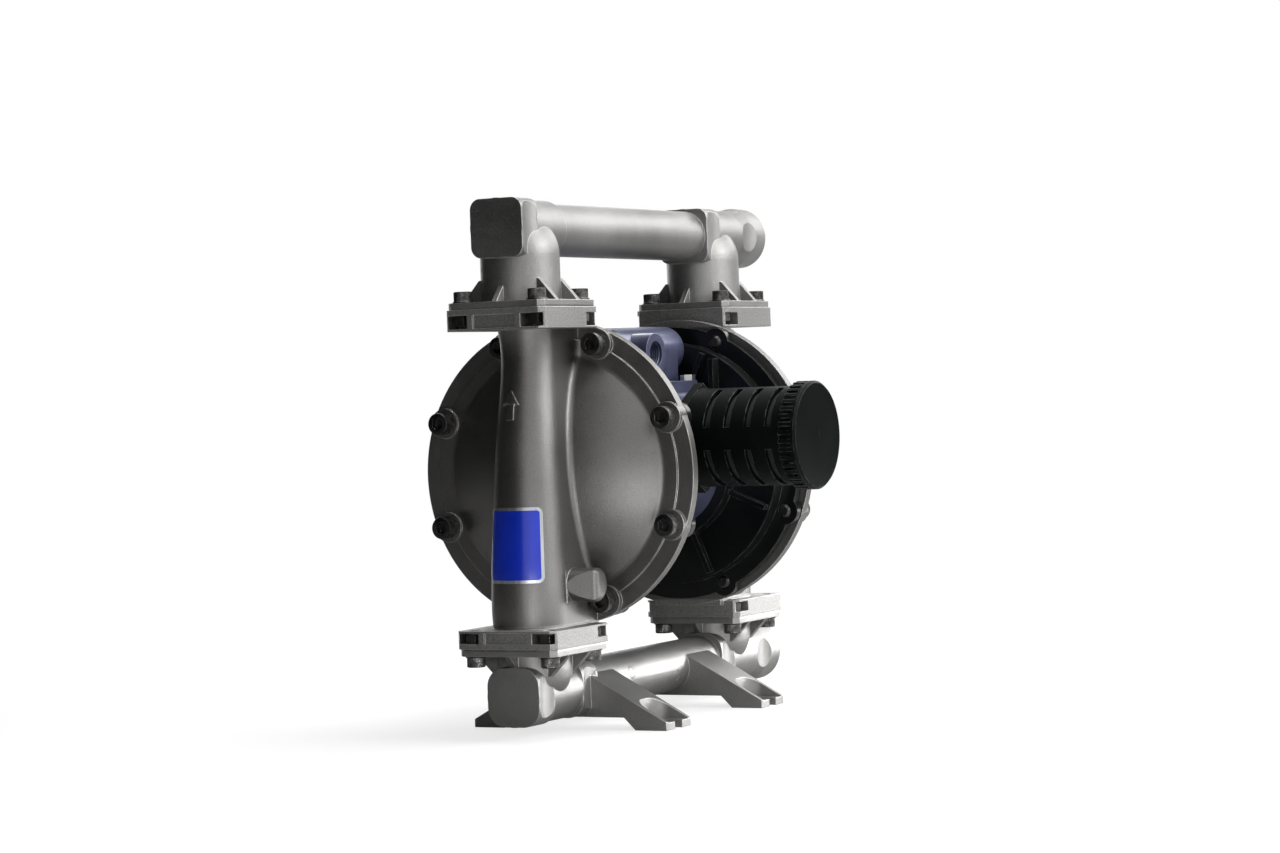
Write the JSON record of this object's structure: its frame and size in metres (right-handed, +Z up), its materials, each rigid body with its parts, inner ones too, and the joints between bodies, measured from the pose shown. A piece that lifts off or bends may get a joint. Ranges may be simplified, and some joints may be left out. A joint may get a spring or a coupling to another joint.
{
  "type": "air-operated double diaphragm pump",
  "caption": "Air-operated double diaphragm pump with two bolted diaphragm chambers, ball check manifolds on top and below, an air valve, a muffler and slotted feet.",
  "frame": {"origin": "on the floor, straight below the middle of the main shaft", "axes": "+Z up, +Y along the shaft toward the fluid ports, +X toward the air inlet and the muffler"},
  "size_m": [0.2784, 0.39, 0.3823],
  "materials": {
    "cast_cover": "cast, satin",
    "cast_manifold": "cast, satin",
    "black_cover": "black paint, semi-gloss",
    "housing_paint": "dark purple-grey paint, satin",
    "black_fastener": "black oxide",
    "nut_steel": "plain",
    "bright_steel": "polished",
    "turned_steel": "turned",
    "seat_steel": "machined",
    "diaphragm_rubber": "matt",
    "seal_rubber": "matt",
    "ball_white": "smooth",
    "plate_aluminium": "machined",
    "bearing_plastic": "machined",
    "muffler_plastic": "moulded",
    "muffler_felt": "felt",
    "valve_cast": "cast, satin",
    "gasket_paper": "paper",
    "ceramic": "lapped",
    "cup_plastic": "moulded"
  },
  "bodies": {
    "casing": {"fluid_cover_near": "cast_cover", "air_cover_near": "black_cover", "cover_bolts_near": "black_fastener", "diaphragm_near": "diaphragm_rubber", "air_cover_screws_near": "bright_steel", "shaft_bearing_near": "bearing_plastic", "shaft_seal_near": "seal_rubber", "pilot_bushing_near": "turned_steel", "valve_end_plug_near": "turned_steel", "fluid_cover_far": "cast_cover", "air_cover_far": "black_cover", "cover_bolts_far": "black_fastener", "diaphragm_far": "diaphragm_rubber", "air_cover_screws_far": "bright_steel", "shaft_bearing_far": "bearing_plastic", "shaft_seal_far": "seal_rubber", "pilot_bushing_far": "turned_steel", "valve_end_plug_far": "turned_steel", "ball_seat_inlet_near": "seat_steel", "ball_seat_inlet_far": "seat_steel", "ball_seat_outlet_near": "seat_steel", "ball_seat_outlet_far": "seat_steel", "center_housing": "housing_paint", "ground_screw": "bright_steel", "air_valve_body": "valve_cast", "air_valve_gasket": "gasket_paper", "air_valve_screws": "bright_steel", "valve_plate": "ceramic", "muffler_body": "muffler_plastic", "muffler_element": "muffler_felt", "muffler_cap": "muffler_plastic", "outlet_manifold": "cast_manifold", "inlet_manifold": "cast_manifold", "seat_seals": "seal_rubber", "outlet_flange_bolts": "black_fastener", "outlet_flange_nuts": "nut_steel", "inlet_flange_bolts": "black_fastener", "inlet_flange_nuts": "nut_steel"},
    "shaft_assembly": {"main_shaft": "bright_steel", "air_side_plate_near": "plate_aluminium", "air_side_plate_far": "plate_aluminium", "fluid_side_plate_near": "plate_aluminium", "fluid_side_plate_far": "plate_aluminium", "shaft_bolt_near": "bright_steel", "shaft_bolt_far": "bright_steel"},
    "spool_assembly": {"valve_spool": "turned_steel", "valve_cup": "cup_plastic"},
    "pin_near": {"pilot_pin_near": "bright_steel"},
    "pin_far": {"pilot_pin_far": "bright_steel"},
    "ball_inlet_near": {"check_ball_inlet_near": "ball_white"},
    "ball_inlet_far": {"check_ball_inlet_far": "ball_white"},
    "ball_outlet_near": {"check_ball_outlet_near": "ball_white"},
    "ball_outlet_far": {"check_ball_outlet_far": "ball_white"}
  },
  "joints": [
    {"name": "shaft_slide", "type": "slide", "parent": "casing", "child": "shaft_assembly", "axis": [0, 1, 0], "range_m": [-0.01, 0.01], "deforming": ["diaphragm_near", "diaphragm_far"]},
    {"name": "spool_slide", "type": "slide", "parent": "casing", "child": "spool_assembly", "axis": [0, 1, 0], "range_m": [-0.005, 0.005]},
    {"name": "pilot_pin_near_slide", "type": "slide", "parent": "casing", "child": "pin_near", "axis": [0, 1, 0], "range_m": [-0.0035, 0.0035]},
    {"name": "pilot_pin_far_slide", "type": "slide", "parent": "casing", "child": "pin_far", "axis": [0, 1, 0], "range_m": [-0.0035, 0.0035]},
    {"name": "check_ball_inlet_near_lift", "type": "slide", "parent": "casing", "child": "ball_inlet_near", "axis": [0, 0, 1], "range_m": [0, 0.006]},
    {"name": "check_ball_inlet_far_lift", "type": "slide", "parent": "casing", "child": "ball_inlet_far", "axis": [0, 0, 1], "range_m": [0, 0.006]},
    {"name": "check_ball_outlet_near_lift", "type": "slide", "parent": "casing", "child": "ball_outlet_near", "axis": [0, 0, 1], "range_m": [0, 0.006]},
    {"name": "check_ball_outlet_far_lift", "type": "slide", "parent": "casing", "child": "ball_outlet_far", "axis": [0, 0, 1], "range_m": [0, 0.006]}
  ],
  "couplings": [
    {"joint": "pilot_pin_near_slide", "follows": "shaft_slide", "ratio": 0.35},
    {"joint": "pilot_pin_far_slide", "follows": "shaft_slide", "ratio": 0.35}
  ]
}
